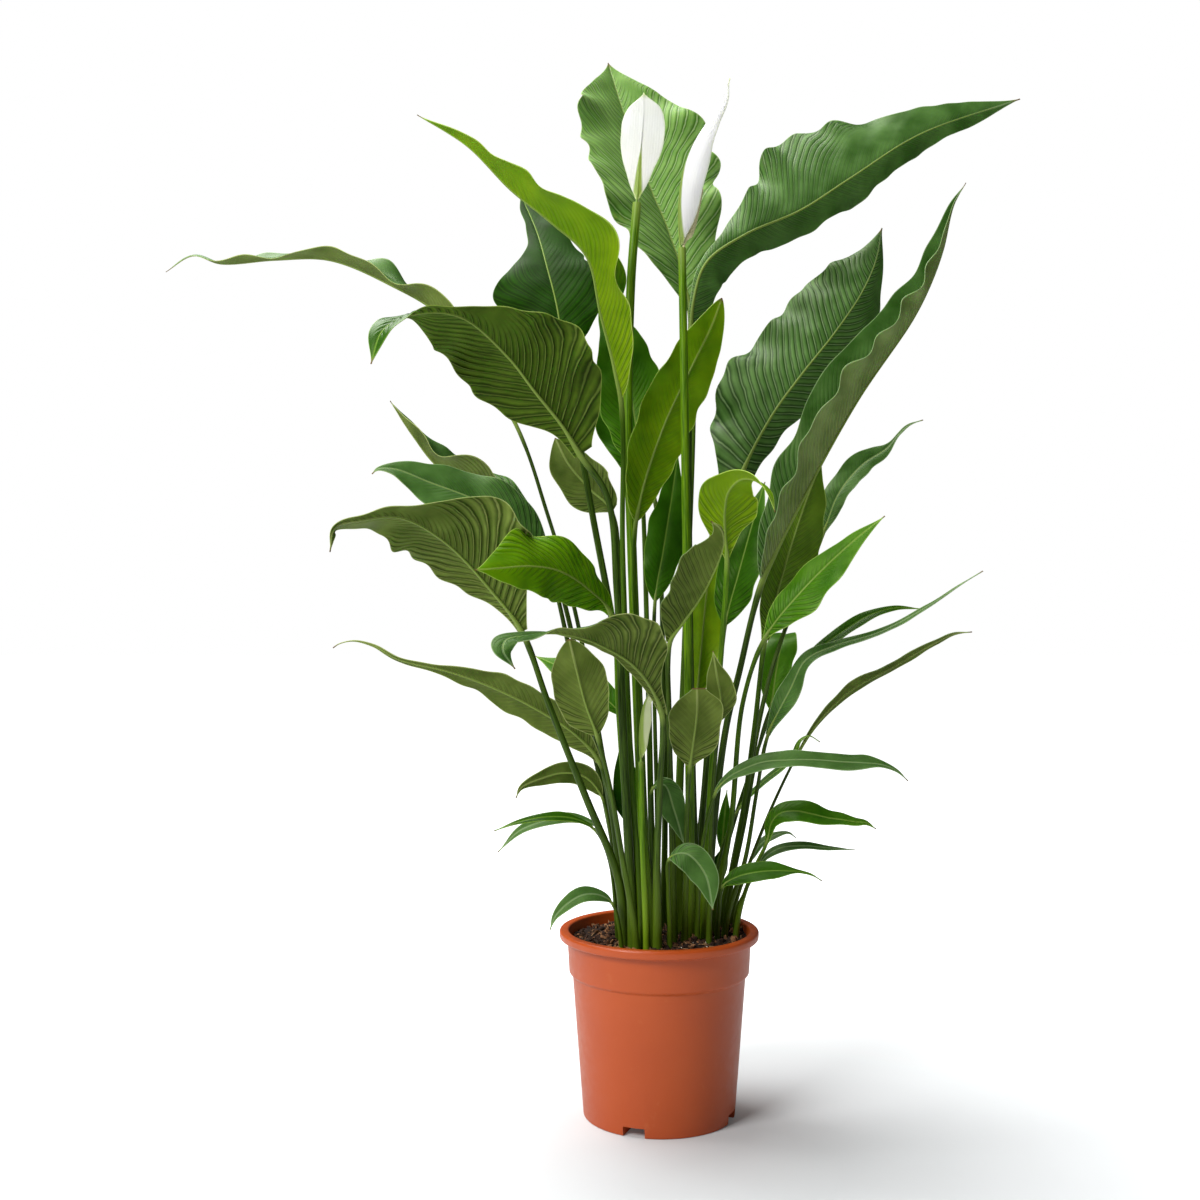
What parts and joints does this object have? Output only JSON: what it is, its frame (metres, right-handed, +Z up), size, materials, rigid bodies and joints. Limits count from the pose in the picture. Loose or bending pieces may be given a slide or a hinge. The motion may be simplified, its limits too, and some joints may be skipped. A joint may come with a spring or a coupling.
{
  "type": "potted peace lily",
  "caption": "Upright peace lily with long arching ribbed leaves and white hooded blooms on tall stalks, in a round tapered plastic nursery pot filled with soil.",
  "frame": {"origin": "on the pot's axis, at the surface that the pot stands on", "axes": "+Z up along the pot's axis, -Y towards the viewer who sees the plant as pictured, +X to that viewer's right"},
  "size_m": [0.9116, 0.4496, 1.1183],
  "materials": {
    "pot_terracotta": "satin moulded plastic",
    "peat_soil": "crumbly, dull",
    "leaf_dark": "glossy ribbed leaf",
    "leaf_green": "glossy ribbed leaf",
    "leaf_bright": "glossy young leaf",
    "leaf_olive": "satin underside of a leaf",
    "bloom_stalk": "smooth stalk",
    "spathe_white": "waxy petal",
    "spadix_cream": "knobbly, dull"
  },
  "bodies": {
    "root": {"leaf_centre_1": "leaf_green", "leaf_right_1": "leaf_dark", "leaf_right_2": "leaf_dark", "leaf_right_3": "leaf_olive", "leaf_right_4": "leaf_dark", "leaf_right_5": "leaf_bright", "leaf_right_6": "leaf_olive", "leaf_right_7": "leaf_dark", "leaf_right_8": "leaf_bright", "leaf_right_9": "leaf_olive", "leaf_right_10": "leaf_green", "leaf_right_11": "leaf_green", "leaf_right_12": "leaf_green", "leaf_right_13": "leaf_olive", "leaf_right_14": "leaf_olive", "leaf_right_15": "leaf_dark", "leaf_right_16": "leaf_dark", "leaf_right_17": "leaf_dark", "leaf_right_18": "leaf_green", "leaf_right_19": "leaf_green", "leaf_centre_2": "leaf_bright", "leaf_centre_3": "leaf_olive", "leaf_centre_4": "leaf_bright", "leaf_centre_5": "leaf_olive", "leaf_centre_6": "leaf_olive", "leaf_centre_7": "leaf_green", "leaf_centre_8": "leaf_bright", "leaf_centre_9": "leaf_dark", "leaf_centre_10": "leaf_olive", "leaf_left_1": "leaf_bright", "leaf_left_2": "leaf_olive", "leaf_left_3": "leaf_olive", "leaf_left_4": "leaf_dark", "leaf_left_5": "leaf_olive", "leaf_left_6": "leaf_olive", "leaf_left_7": "leaf_dark", "leaf_left_8": "leaf_olive", "leaf_left_9": "leaf_olive", "leaf_left_10": "leaf_olive", "leaf_left_11": "leaf_olive", "leaf_left_12": "leaf_dark", "leaf_left_13": "leaf_olive", "leaf_left_14": "leaf_green", "leaf_left_15": "leaf_dark", "leaf_left_16": "leaf_dark", "leaf_back_1": "leaf_green", "leaf_back_2": "leaf_dark", "leaf_back_3": "leaf_green", "leaf_back_4": "leaf_olive", "bloom_left_stalk": "bloom_stalk", "bloom_left_spathe": "spathe_white", "bloom_left_spadix": "spadix_cream", "bloom_right_stalk": "bloom_stalk", "bloom_right_spathe": "spathe_white", "bloom_right_spadix": "spadix_cream", "bloom_young_stalk": "bloom_stalk", "bloom_young_spathe": "spathe_white", "pot": "pot_terracotta", "soil": "peat_soil"}
  },
  "joints": []
}
